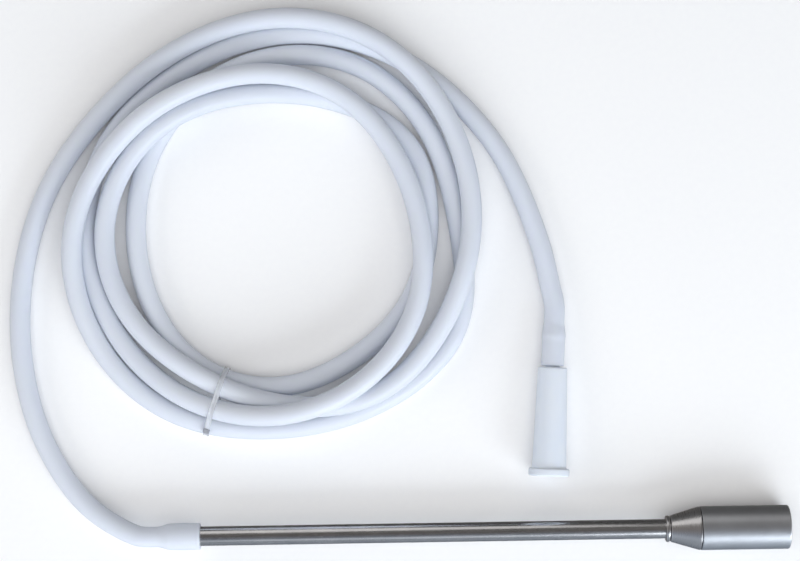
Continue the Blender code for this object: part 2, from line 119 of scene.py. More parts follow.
def cubic_through(knots: np.ndarray, first: np.ndarray, last: np.ndarray, steps: int) -> np.ndarray:
    """Return points along the cubic spline through the knots.

    Between two knots the curve is the cubic with equal slope and equal bending on both sides of
    each knot, with chord length as its parameter. The bending at the knots solves one
    three-banded set of equations.

    Args:
        knots: the points to pass through, count x 3.
        first: direction at the first knot.
        last: direction at the last knot.
        steps: points worked out between two knots.

    Returns:
        The fine points, from the first knot to the last.
    """
    count = len(knots)
    span = np.diff(chord_lengths(knots))
    slope = np.diff(knots, axis=0) / span[:, None]
    system = np.zeros((count, count))
    inner = np.arange(1, count - 1)
    system[inner, inner - 1] = span[:-1]
    system[inner, inner] = 2.0 * (span[:-1] + span[1:])
    system[inner, inner + 1] = span[1:]
    system[0, :2] = (2.0 * span[0], span[0])
    system[-1, -2:] = (span[-1], 2.0 * span[-1])
    right = 6.0 * np.vstack([slope[:1] - first, np.diff(slope, axis=0), last - slope[-1:]])
    bending = np.linalg.solve(system, right)
    share = (np.arange(steps) / steps)[None, :, None]
    width = span[:, None, None]
    here, there = knots[:-1, None], knots[1:, None]
    bend_here, bend_there = bending[:-1, None], bending[1:, None]
    rest = 1.0 - share
    fine = (
        rest * here
        + share * there
        + ((rest**3 - rest) * bend_here + (share**3 - share) * bend_there) * width**2 / 6.0
    )
    return np.vstack([fine.reshape(-1, knots.shape[1]), knots[-1:]])


def rounded(corners: list[Triple], steps: int = 5) -> np.ndarray:
    """Return a closed outline with its corners rounded.

    Each corner gives way to the parabola (1-t)^2 A + 2t(1-t) C + t^2 B, where C is the corner and
    A and B lie on its two sides, as far from it as its rounding says.

    Args:
        corners: along, radius and rounding of each corner, in order round the outline.
        steps: pieces that each rounded corner is cut into.

    Returns:
        Outline points as rows of (along, radius), without repeats.
    """
    table = np.array(corners, float)
    place, cut = table[:, :2], table[:, 2:]
    before, after = np.roll(place, 1, axis=0) - place, np.roll(place, -1, axis=0) - place
    start = place + unit(before) * np.minimum(cut, 0.49 * np.linalg.norm(before, axis=1, keepdims=True))
    end = place + unit(after) * np.minimum(cut, 0.49 * np.linalg.norm(after, axis=1, keepdims=True))
    t = np.linspace(0.0, 1.0, steps + 1)[None, :, None]
    arcs = (1 - t) ** 2 * start[:, None] + 2 * t * (1 - t) * place[:, None] + t**2 * end[:, None]
    outline = arcs.reshape(-1, 2)
    away = np.linalg.norm(outline - np.roll(outline, 1, axis=0), axis=1)
    return outline[away > 1e-7]


def sleeve(
    low: float, high: float, bore: float, outer: float, bore_edge: float, outer_edge: float, steps: int = 5
) -> np.ndarray:
    """Return a sleeve's outline, rounded by one amount at its bore and by another outside.

    Args:
        low: where it starts, along its axis.
        high: where it ends.
        bore: radius of its bore.
        outer: radius of its outside.
        bore_edge: rounding of the bore's two edges.
        outer_edge: rounding of the outside's two edges.
        steps: pieces that each rounded edge is cut into.

    Returns:
        Outline points as rows of (along, radius).
    """
    inside = [(low, bore, bore_edge), (high, bore, bore_edge)]
    return rounded(inside + [(high, outer, outer_edge), (low, outer, outer_edge)], steps)


def divided(outline: np.ndarray, longest: float) -> np.ndarray:
    """Return a closed outline with points added, so that no step is much longer than asked."""
    closed = np.vstack([outline, outline[:1]])
    along = chord_lengths(closed)
    extra = np.arange(0.0, along[-1], longest)
    gap = np.abs(extra[:, None] - along[None, :]).min(axis=1)
    places = np.sort(np.concatenate([along[:-1], extra[gap > 0.3 * longest]]))
    return at_distance(closed, places)


def grid_faces(rows: int, columns: int, close_rows: bool) -> np.ndarray:
    """Return the quads of a grid whose columns close up, and whose rows may close up too."""
    row = np.arange(rows if close_rows else rows - 1)
    column = np.arange(columns)
    i, j = np.meshgrid(row, column, indexing="ij")
    down, across = (i + 1) % rows, (j + 1) % columns
    corners = [i * columns + j, i * columns + across, down * columns + across, down * columns + j]
    return np.stack(corners, axis=-1).reshape(-1, 4)


def grid_uv(rows: int, columns: int, travel: np.ndarray) -> np.ndarray:
    """Return the UV of each quad's corners: once round the columns, and metres of travel."""
    i, j = np.meshgrid(np.arange(rows), np.arange(columns), indexing="ij")
    step = np.concatenate([travel, travel[:1]])
    u = np.stack([j, j + 1, j + 1, j], axis=-1) / columns
    v = np.stack([step[i], step[i], step[i + 1], step[i + 1]], axis=-1)
    return np.stack([u, v], axis=-1).reshape(-1, 2)


def signed_volume(points: np.ndarray, faces: np.ndarray) -> float:
    """Return the volume that quads enclose, below zero where they point inwards."""
    a, b, c, d = (points[faces[:, k]] for k in range(4))
    return float((np.cross(a, b) * c).sum() + (np.cross(a, c) * d).sum()) / 6.0


@dataclass(frozen=True)
class Axis:
    """A straight line that pieces are turned about."""

    origin: Triple
    direction: Triple = (1.0, 0.0, 0.0)

    def line(self, along: np.ndarray) -> tuple[np.ndarray, np.ndarray, np.ndarray]:
        """Return places along the axis, with two directions square to it.

        Args:
            along: distances from the origin.

        Returns:
            Middles, first sides and second sides, each count x 3.
        """
        heading = unit(np.array(self.direction, float))
        side = unit(np.cross(UP, heading))
        middles = np.array(self.origin) + along[:, None] * heading
        return middles, np.tile(side, (len(along), 1)), np.tile(np.cross(heading, side), (len(along), 1))


def rings(
    middles: np.ndarray, side: np.ndarray, other: np.ndarray, radii: np.ndarray, facets: int
) -> np.ndarray:
    """Return circles about a line: middle + radius (cos a side + sin a other).

    Args:
        middles: one middle for each ring.
        side: first direction square to the line, for each ring.
        other: second direction square to the line, for each ring.
        radii: one radius for each ring, or one for each ring and facet.
        facets: points round each ring.

    Returns:
        Points, rings x facets x 3.
    """
    angle = np.arange(facets) * TURN / facets
    reach = radii if radii.ndim == 2 else radii[:, None]
    across = np.cos(angle)[None, :, None] * side[:, None] + np.sin(angle)[None, :, None] * other[:, None]
    return middles[:, None] + reach[:, :, None] * across


def mesh_piece(
    name: str,
    points: np.ndarray,
    faces: np.ndarray,
    finish: Material,
    body: Body,
    uv: np.ndarray | None = None,
    sharp: float = 32.0,
) -> Piece:
    """Make a piece from arrays, turned the right way out, and set it riding on its body.

    Args:
        name: the piece's name.
        points: its points, count x 3.
        faces: its quads, count x 4, or its triangles, count x 3.
        finish: its material.
        body: the body that it rides on.
        uv: UV of every corner of every face, in the faces' order.
        sharp: smallest angle between faces that shows as an edge, in degrees.

    Returns:
        The new object.
    """
    if faces.shape[1] == 4 and signed_volume(points, faces) < 0.0:
        faces = faces[:, ::-1]
        uv = None if uv is None else uv.reshape(-1, 4, 2)[:, ::-1].reshape(-1, 2)
    mesh = bpy.data.meshes.new(name)
    corners = faces.shape[1]
    mesh.vertices.add(len(points))
    mesh.vertices.foreach_set("co", points.astype(np.float32).ravel())
    mesh.loops.add(faces.size)
    mesh.loops.foreach_set("vertex_index", faces.astype(np.int32).ravel())
    mesh.polygons.add(len(faces))
    mesh.polygons.foreach_set("loop_start", np.arange(0, faces.size, corners, dtype=np.int32))
    mesh.update(calc_edges=True)
    mesh.polygons.foreach_set("use_smooth", np.ones(len(faces), bool))
    if uv is not None:
        layer = mesh.uv_layers.new(name="along")
        layer.data.foreach_set("uv", uv.astype(np.float32).ravel())
    mesh.validate()
    mesh.set_sharp_from_angle(angle=math.radians(sharp))
    mesh.materials.append(finish)
    piece = bpy.data.objects.new(name, mesh)
    bpy.context.scene.collection.objects.link(piece)
    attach(piece, body.value)
    return piece


def turned(
    name: str,
    outline: np.ndarray,
    axis: Axis,
    finish: Material,
    body: Body,
    rise: np.ndarray | None = None,
) -> Piece:
    """Turn a closed outline about an axis: every outline point becomes a ring of its radius.

    Args:
        name: the piece's name.
        outline: rows of (along, radius).
        axis: the line that it is turned about.
        finish: its material.
        body: the body that it rides on.
        rise: extra radius of every point, outline points x facets, for a thread.

    Returns:
        The new object.
    """
    middles, side, other = axis.line(outline[:, 0])
    radii = outline[:, 1:] + (0.0 if rise is None else rise) + np.zeros((1, FACETS))
    points = rings(middles, side, other, radii, FACETS).reshape(-1, 3)
    faces = grid_faces(len(outline), FACETS, True)
    uv = grid_uv(len(outline), FACETS, chord_lengths(outline))
    return mesh_piece(name, points, faces, finish, body, uv)


@dataclass(frozen=True)
class Thread:
    """A right-hand thread with flattened crests and roots.

    Its rise is depth x held(1.6 cos(turns)), where turns counts pitches along the axis less the
    share of a turn round it, and it fades out at both ends.
    """

    pitch: float = 1.5 * MM
    depth: float = 0.27 * MM
    fade: float = 1.0 * MM      # length over which it fades out at each end
    step: float = 0.125 * MM    # longest step of an outline that carries it

    def rise(self, outline: np.ndarray, low: float, high: float, radius: float) -> np.ndarray:
        """Return the extra radius of every point of a turned outline.

        Args:
            outline: rows of (along, radius).
            low: where the thread starts, along the axis.
            high: where it ends.
            radius: radius of the surface that carries it.

        Returns:
            The rise, outline points x facets.
        """
        along, at = outline[:, :1], outline[:, 1:]
        around = np.arange(FACETS)[None, :] / FACETS
        wave = np.clip(1.6 * np.cos(TURN * (along / self.pitch - around)), -1.0, 1.0)
        ends = smoothstep((along - low) / self.fade) * smoothstep((high - along) / self.fade)
        carries = np.abs(at - radius) < 0.02 * MM
        return self.depth * wave * ends * carries


# ---------------------------------------------------------------------------------------------
# Finishes


class NodeTree:
    """The nodes of a material or of the room's light, with short ways to add and join them."""

    def __init__(self, owner: Material | bpy.types.World) -> None:
        """Start on the owner's node tree."""
        owner.use_nodes = True
        self.tree = owner.node_tree

    def node(self, kind: str, **settings: object) -> bpy.types.Node:
        """Add a node and set its properties."""
        made = self.tree.nodes.new(kind)
        for key, value in settings.items():
            setattr(made, key, value)
        return made

    def join(self, source: Socket, target: Socket) -> None:
        """Link one socket to another."""
        self.tree.links.new(source, target)


class NodeSheet(NodeTree):
    """One material, with short ways to give its Principled shader a pattern."""

    def __init__(self, name: str) -> None:
        """Start a material with its Principled shader."""
        self.material = bpy.data.materials.new(name)
        super().__init__(self.material)
        self.shader = self.tree.nodes["Principled BSDF"]

    def place(self, repeats: Triple, uv: bool = False) -> Socket:
        """Return object coordinates, or the piece's own UV, times the repeats along each axis."""
        source = self.node("ShaderNodeUVMap", uv_map="along") if uv else self.node("ShaderNodeTexCoord")
        mapping = self.node("ShaderNodeMapping")
        mapping.inputs["Scale"].default_value = repeats
        self.join(source.outputs["UV" if uv else "Object"], mapping.inputs["Vector"])
        return mapping.outputs["Vector"]

    def noise(self, place: Socket, detail: float = 2.0) -> Socket:
        """Return noise from 0 to 1 at a place, one repeat to each unit of it."""
        made = self.node("ShaderNodeTexNoise")
        made.inputs["Scale"].default_value = 1.0
        made.inputs["Detail"].default_value = detail
        self.join(place, made.inputs["Vector"])
        return made.outputs["Fac"]

    def ranged(self, value: Socket, low: float, high: float) -> Socket:
        """Return noise spread from low to high."""
        made = self.node("ShaderNodeMapRange")
        made.inputs["From Min"].default_value = 0.3
        made.inputs["From Max"].default_value = 0.7
        made.inputs["To Min"].default_value = low
        made.inputs["To Max"].default_value = high
        self.join(value, made.inputs["Value"])
        return made.outputs["Result"]

    def between(
        self,
        value: Socket,
        first: Triple,
        second: Triple,
    ) -> Socket:
        """Return a colour between two, following the noise."""
        made = self.node("ShaderNodeMix", data_type="RGBA")
        made.inputs[6].default_value = (*first, 1.0)
        made.inputs[7].default_value = (*second, 1.0)
        self.join(self.ranged(value, 0.0, 1.0), made.inputs[0])
        return made.outputs[2]

    def bump(
        self,
        height: Socket,
        strength: float,
        distance: float,
        under: Socket | None = None,
    ) -> Socket:
        """Return a normal bent by a height, on top of another normal where one is given."""
        made = self.node("ShaderNodeBump")
        made.inputs["Strength"].default_value = strength
        made.inputs["Distance"].default_value = distance
        self.join(height, made.inputs["Height"])
        if under is not None:
            self.join(under, made.inputs["Normal"])
        return made.outputs["Normal"]

    def paint(self, value: Socket, first: Triple, second: Triple) -> None:
        """Colour the surface between two colours, following the noise."""
        self.join(self.between(value, first, second), self.shader.inputs["Base Color"])

    def roughen(self, value: Socket, low: float, high: float) -> None:
        """Spread the surface's roughness from low to high, following the noise."""
        self.join(self.ranged(value, low, high), self.shader.inputs["Roughness"])

    def emboss(self, height: Socket, strength: float, distance: float, under: Socket | None = None) -> None:
        """Bend the surface's normal by a height, on top of another normal where one is given."""
        self.join(self.bump(height, strength, distance, under), self.shader.inputs["Normal"])

    def set(self, **values: object) -> None:
        """Set values on the shader's own sockets, with underscores for spaces in their names."""
        for key, value in values.items():
            self.shader.inputs[key.replace("_", " ")].default_value = value


@dataclass(frozen=True)
class SteelFinish:
    """Bare steel: fine marks in one direction, with faint cloudiness in its gloss and colour."""

    name: str
    colour: Triple
    darker: Triple
    roughness: Pair
    grain: Grain
    relief: float

    def build(self) -> Material:
        """Return the material."""
        sheet = NodeSheet(self.name)
        sheet.set(Metallic=1.0)
        marks = sheet.noise(sheet.place(self.grain.value), 3.0)
        clouds = sheet.noise(sheet.place((90.0, 90.0, 90.0)), 3.0)
        sheet.paint(clouds, self.darker, self.colour)
        sheet.roughen(marks, *self.roughness)
        sheet.emboss(marks, self.relief, 0.02 * MM)
        return sheet.material


@dataclass(frozen=True)
class SiliconeFinish:
    """Milky extruded silicone: soft satin gloss, faint lines along it and slow clouds in it."""

    name: str = "white_silicone_hose"
    colour: Triple = (0.71, 0.745, 0.81)
    cooler: Triple = (0.67, 0.71, 0.79)

    def build(self) -> Material:
        """Return the material. It follows the hose's own UV, once round and metres along."""
        sheet = NodeSheet(self.name)
        sheet.set(Subsurface_Weight=0.35, Subsurface_Radius=(1.0, 0.9, 1.1), Subsurface_Scale=1.6 * MM)
        sheet.set(IOR=1.41, Specular_IOR_Level=0.42, Coat_Weight=0.08, Coat_Roughness=0.25)
        clouds = sheet.noise(sheet.place((2.0, 14.0, 1.0), uv=True), 2.0)
        lines = sheet.noise(sheet.place((60.0, 5.0, 1.0), uv=True), 2.0)
        skin = sheet.noise(sheet.place((1900.0, 1900.0, 1900.0)), 2.0)
        sheet.paint(clouds, self.cooler, self.colour)
        sheet.roughen(skin, 0.34, 0.46)
        fine = sheet.bump(skin, 0.12, 0.03 * MM)
        sheet.emboss(lines, 0.15, 0.03 * MM, fine)
        return sheet.material


@dataclass(frozen=True)
class MouldedFinish:
    """Milky moulded plastic: smooth, a little see-through, with faint flow clouds."""

    name: str = "milky_moulded_plastic"
    colour: Triple = (0.80, 0.84, 0.90)
    cooler: Triple = (0.74, 0.80, 0.89)

    def build(self) -> Material:
        """Return the material."""
        sheet = NodeSheet(self.name)
        sheet.set(Subsurface_Weight=0.25, Subsurface_Radius=(1.0, 1.0, 1.2), Subsurface_Scale=0.5 * MM)
        sheet.set(IOR=1.49, Specular_IOR_Level=0.3)
        flow = sheet.noise(sheet.place((70.0, 40.0, 70.0)), 3.0)
        skin = sheet.noise(sheet.place((2600.0, 2600.0, 2600.0)), 2.0)
        sheet.paint(flow, self.cooler, self.colour)
        sheet.roughen(flow, 0.36, 0.42)
        sheet.emboss(skin, 0.1, 0.02 * MM)
        return sheet.material


@dataclass(frozen=True)
class ClearFinish:
    """Clear, slightly milky strap plastic with drawn lines along the strap. Its darker grey copy for the
    lock is painted shade.
    """

    name: str = "clear_strap_plastic"
    colour: Triple = (0.96, 0.975, 1.0)
    cooler: Triple = (0.92, 0.945, 0.985)
    see_through: float = 0.6

    def build(self) -> Material:
        """Return the material."""
        sheet = NodeSheet(self.name)
        sheet.set(Transmission_Weight=self.see_through, IOR=1.45)
        drawn = sheet.noise(sheet.place((900.0, 300.0, 900.0)), 2.0)
        sheet.paint(drawn, self.cooler, self.colour)
        sheet.roughen(drawn, 0.10, 0.22)
        sheet.emboss(drawn, 0.2, 0.02 * MM)
        return sheet.material


@dataclass(frozen=True)
class RubberFinish:
    """Dark seal rubber: matte, with a fine skin and a little bloom."""

    name: str = "dark_seal_rubber"
    colour: Triple = (0.035, 0.035, 0.038)
    bloom: Triple = (0.06, 0.06, 0.062)

    def build(self) -> Material:
        """Return the material."""
        sheet = NodeSheet(self.name)
        skin = sheet.noise(sheet.place((2200.0, 2200.0, 2200.0)), 3.0)
        clouds = sheet.noise(sheet.place((300.0, 300.0, 300.0)), 2.0)
        sheet.paint(clouds, self.colour, self.bloom)
        sheet.roughen(skin, 0.5, 0.7)
        sheet.emboss(skin, 0.3, 0.03 * MM)
        return sheet.material


@dataclass(frozen=True)
class Finishes:
    """Every material of the object."""

    tube: Material
    turned: Material
    satin: Material
    silicone: Material
    moulded: Material
    clear: Material
    # the lock's darker grey plastic: painted shade for its dark look
    painted_shade_lock: Material
    rubber: Material


def make_finishes() -> Finishes:
    """Return the object's materials."""
    bright, shade = (0.62, 0.61, 0.61), (0.55, 0.545, 0.55)
    return Finishes(
        SteelFinish("polished_tube_steel", bright, shade, (0.20, 0.30), Grain.ALONG, 0.25).build(),
        SteelFinish("turned_steel", bright, shade, (0.26, 0.33), Grain.ROUND, 0.12).build(),
        SteelFinish(
            "satin_barrel_steel", (0.62, 0.635, 0.66), (0.54, 0.55, 0.575), (0.36, 0.50), Grain.ROUND, 0.7
        ).build(),
        SiliconeFinish().build(),
        MouldedFinish().build(),
        ClearFinish().build(),
        # The lock's darker grey colour is painted shade for its dark look; the plastic itself is as clear
        # as the strap.
        ClearFinish("lock_plastic_painted_shade", (0.50, 0.52, 0.57), (0.42, 0.44, 0.49), 0.3).build(),
        RubberFinish().build(),
    )


# ---------------------------------------------------------------------------------------------
# The object's sub-assemblies


@dataclass
class Wand:
    """The steel tube, its neck collar and the cone with the threaded spigot."""

    finishes: Finishes
    bore: float = 3.05 * MM
    spigot: float = 6.0 * MM
    seat_play: float = 0.05 * MM
    cone_length: float = 11.5 * MM
    cone_back: float = 5.1 * MM
    tube_socket: float = 9.3 * MM
    relief_depth: float = 0.35 * MM

    def __post_init__(self) -> None:
        """Read the places of the CAD pieces."""
        self.tube_low, self.tube_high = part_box("wand_tube")
        self.height = (self.tube_low.z + self.tube_high.z) / 2.0
        self.radius = (self.tube_high.z - self.tube_low.z) / 2.0
        self.axis = Axis((0.0, 0.0, self.height))

    def tube(self) -> Piece:
        """Make the tube: a sleeve with broken edges at both ends."""
        low, high = self.tube_low.x, self.tube_high.x
        outline = sleeve(low, high, self.bore, self.radius, 0.1 * MM, 0.25 * MM)
        piece = turned("wand_tube_fine", outline, self.axis, self.finishes.tube, Body.WAND)
        return self.kept(piece, "wand_tube")

    def collar(self) -> Piece:
        """Make the neck collar: a narrow ring with well rounded edges."""
        low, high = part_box("neck_collar")
        radius = (high.z - low.z) / 2.0
        outline = sleeve(low.x, high.x, self.radius + self.seat_play, radius, 0.1 * MM, 0.6 * MM, 8)
        piece = turned("neck_collar_fine", outline, self.axis, self.finishes.turned, Body.WAND)
        return self.kept(piece, "neck_collar")

    def cone(self, thread: Thread) -> Piece:
        """Make the cone, its land and the spigot with its thread and relief groove.

        Args:
            thread: the thread that the barrel screws along.

        Returns:
            The new piece.
        """
        low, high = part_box("head_cone")
        front = (high.z - low.z) / 2.0
        shoulder = low.x + self.cone_length
        socket = low.x + self.tube_socket
        relief = self.spigot - self.relief_depth
        outline = rounded(
            [
                (low.x, self.radius + self.seat_play, 0.1 * MM),
                (socket, self.radius + self.seat_play, 0.05 * MM),
                (socket, self.bore, 0.2 * MM),
                (high.x, self.bore, 0.3 * MM),
                (high.x, self.spigot - 0.5 * MM, 0.1 * MM),
                (high.x - 0.5 * MM, self.spigot, 0.1 * MM),
                (shoulder + 2.2 * MM, self.spigot, 0.2 * MM),
                (shoulder + 1.9 * MM, relief, 0.15 * MM),
                (shoulder, relief, 0.25 * MM),
                (shoulder, front, 0.2 * MM),
                (shoulder - 0.5 * MM, front, 0.25 * MM),
                (low.x, self.cone_back, 0.35 * MM),
            ]
        )
        outline = divided(outline, thread.step)
        rise = thread.rise(outline, shoulder + 2.0 * MM, high.x - 0.2 * MM, self.spigot)
        piece = turned("head_cone_fine", outline, self.axis, self.finishes.turned, Body.WAND, rise)
        return self.kept(piece, "head_cone")

    def kept(self, piece: Piece, node: str) -> Piece:
        """Let a piece stand for its CAD node, and hide that node."""
        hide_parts(node)
        return piece


@dataclass
class Barrel:
    """The barrel that screws onto the spigot, its washer and the strainer in its mouth."""

    finishes: Finishes
    height: float
    thread: Thread
    thread_radius: float = 6.3 * MM
    thread_length: float = 12.0 * MM
    washer_outer: float = 7.4 * MM
    washer_pocket: Pair = (1.8 * MM, 7.7 * MM)  # depth and radius
    chamber: float = 6.7 * MM
    mouth: float = 7.4 * MM
    ring_bore: float = 5.6 * MM
    screen_hole: float = 0.75 * MM
    screen_pitch: float = 2.3 * MM
    screen_thickness: float = 0.8 * MM

    def __post_init__(self) -> None:
        """Read the places of the CAD pieces."""
        self.low, self.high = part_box("head_barrel")
        self.radius = (self.high.z - self.low.z) / 2.0
        self.axis = Axis((0.0, 0.0, self.height))

    def shell(self) -> Piece:
        """Make the barrel's shell, with its washer pocket, inside thread and mouth."""
        back, front = self.low.x, self.high.x
        pocket, pocket_radius = back + self.washer_pocket[0], self.washer_pocket[1]
        thread_end = back + self.thread_length
        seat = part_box("strainer_screen")[0].x - 0.3 * MM
        outline = rounded(
            [
                (back, pocket_radius, 0.1 * MM),
                (pocket, pocket_radius, 0.1 * MM),
                (pocket, self.thread_radius, 0.3 * MM),
                (thread_end, self.thread_radius, 0.2 * MM),
                (thread_end, self.chamber, 0.2 * MM),
                (seat, self.chamber, 0.1 * MM),
                (seat, self.mouth, 0.1 * MM),
                (front, self.mouth, 0.25 * MM),
                (front, self.radius, 0.6 * MM),
                (back, self.radius, 0.3 * MM),
            ]
        )
        outline = divided(outline, self.thread.step)
        rise = self.thread.rise(outline, pocket, thread_end, self.thread_radius)
        piece = turned("head_barrel_fine", outline, self.axis, self.finishes.satin, Body.BARREL, rise)
        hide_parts("head_barrel")
        return piece

    def washer(self) -> Piece:
        """Make the sealing washer, with soft edges."""
        low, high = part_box("barrel_washer")
        outline = sleeve(low.x, high.x, self.thread_radius, self.washer_outer, 0.3 * MM, 0.3 * MM)
        piece = turned("barrel_washer_fine", outline, self.axis, self.finishes.rubber, Body.WASHER)
        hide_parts("barrel_washer")
        return piece

    def ring(self) -> Piece:
        """Make the ring that holds the screen, with a chamfered lead-in at its bore."""
        low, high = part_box("strainer_ring")
        outer, bore = (high.z - low.z) / 2.0, self.ring_bore
        outline = rounded(
            [
                (low.x, bore, 0.15 * MM),
                (high.x - 0.6 * MM, bore, 0.2 * MM),
                (high.x, bore + 0.5 * MM, 0.15 * MM),
                (high.x, outer, 0.25 * MM),
                (low.x, outer, 0.15 * MM),
            ]
        )
        piece = turned("strainer_ring_fine", outline, self.axis, self.finishes.turned, Body.BARREL)
        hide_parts("strainer_ring")
        return piece

    def hole_middles(self) -> np.ndarray:
        """Return the holes' middles: the points of a triangular lattice within two pitches."""
        a, b = np.meshgrid(np.arange(-2, 3), np.arange(-2, 3), indexing="ij")
        inside = np.abs(a + b) <= 2
        across = self.screen_pitch * (a + b / 2.0)[inside]
        up = self.screen_pitch * (b * math.sqrt(3.0) / 2.0)[inside]
        return np.stack([across, up], axis=1)

    def screen(self) -> Piece:
        """Make the strainer disc: a flat sheet with round holes, thickened both ways.

        The sheet is cut into triangles between the holes' circles and the rim, and a triangle
        stays where its middle is outside every hole and inside the rim.
        """
        low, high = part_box("strainer_screen")
        rim = (high.z - low.z) / 2.0
        steps, rim_steps = 24, 96
        angle = np.arange(steps) * TURN / steps
        circle = self.screen_hole * np.stack([np.cos(angle), np.sin(angle)], axis=1)
        holes = self.hole_middles()
        rim_angle = np.arange(rim_steps) * TURN / rim_steps
        edge = rim * np.stack([np.cos(rim_angle), np.sin(rim_angle)], axis=1)
        flat = np.vstack([(holes[:, None] + circle[None]).reshape(-1, 2), edge])
        loops = [np.arange(steps) + k * steps for k in range(len(holes))]
        loops.append(np.arange(rim_steps) + steps * len(holes))
        edges = np.vstack([np.stack([loop, np.roll(loop, -1)], axis=1) for loop in loops])
        made = delaunay_2d_cdt([Vector(p) for p in flat], edges.tolist(), [], 0, 1e-9)
        places = np.array([tuple(v) for v in made[0]])
        triangles = np.array(made[2])
        centre = places[triangles].mean(axis=1)
        nearest = np.linalg.norm(centre[:, None] - holes[None], axis=2).min(axis=1)
        keep = (nearest > self.screen_hole) & (np.linalg.norm(centre, axis=1) < rim)
        triangles = triangles[keep]
        along = np.full(len(places), (low.x + high.x) / 2.0)
        points = np.stack([along, places[:, 0], places[:, 1] + self.height], axis=1)
        piece = mesh_piece("strainer_screen_fine", points, triangles, self.finishes.turned, Body.BARREL)
        thick = piece.modifiers.new("thickness", "SOLIDIFY")
        thick.thickness = self.screen_thickness
        thick.offset = 0.0
        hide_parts("strainer_screen")
        return piece


@dataclass
class Connector:
    """The moulded connector: flange, tapered body with a socket, and the stem in the hose."""

    finishes: Finishes
    offset: Pair = (153.6 * MM, 21.3 * MM)
    flange_length: float = 3.0 * MM
    flange_radius: float = 8.0 * MM
    body_length: float = 39.4 * MM
    body_flange: float = 6.7 * MM
    body_shoulder: float = 5.7 * MM
    socket_mouth: float = 4.7 * MM
    socket_end: float = 4.4 * MM
    socket_depth: float = 22.0 * MM
    stem: float = 2.8 * MM
    barb: float = 0.3 * MM
    barb_length: float = 2.5 * MM
    stem_length: float = 14.0 * MM
    stem_bore: float = 1.7 * MM

    def __post_init__(self) -> None:
        """Find the connector's axis: its mount gives the height and the direction."""
        mount = frame["record"]["mounts"][0]
        exit_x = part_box("hose_cuff")[0].x
        middle = (exit_x + self.offset[0], self.offset[1], mount["pos_m"][2])
        self.axis = Axis(middle, tuple(-part for part in mount["axis"]))
        self.shoulder = self.flange_length + self.body_length

    def body(self) -> Piece:
        """Make the connector in one turned piece."""
        tip = self.shoulder + self.stem_length
        outline = rounded(
            [
                (0.0, self.socket_mouth, 0.4 * MM),
                (self.socket_depth, self.socket_end, 0.4 * MM),
                (self.socket_depth + 1.5 * MM, self.stem_bore, 0.4 * MM),
                (tip, self.stem_bore, 0.2 * MM),
                (tip, self.stem, 0.2 * MM),
                (tip - self.barb_length, self.stem + self.barb, 0.1 * MM),
                (tip - self.barb_length, self.stem, 0.1 * MM),
                (self.shoulder, self.stem, 0.3 * MM),
                (self.shoulder, self.body_shoulder, 0.9 * MM),
                (self.flange_length, self.body_flange, 0.9 * MM),
                (self.flange_length, self.flange_radius, 0.9 * MM),
                (0.0, self.flange_radius, 0.9 * MM),
            ],
            8,
        )
        piece = turned("connector_fine", outline, self.axis, self.finishes.moulded, Body.WAND)
        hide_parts("connector_body")
        return piece


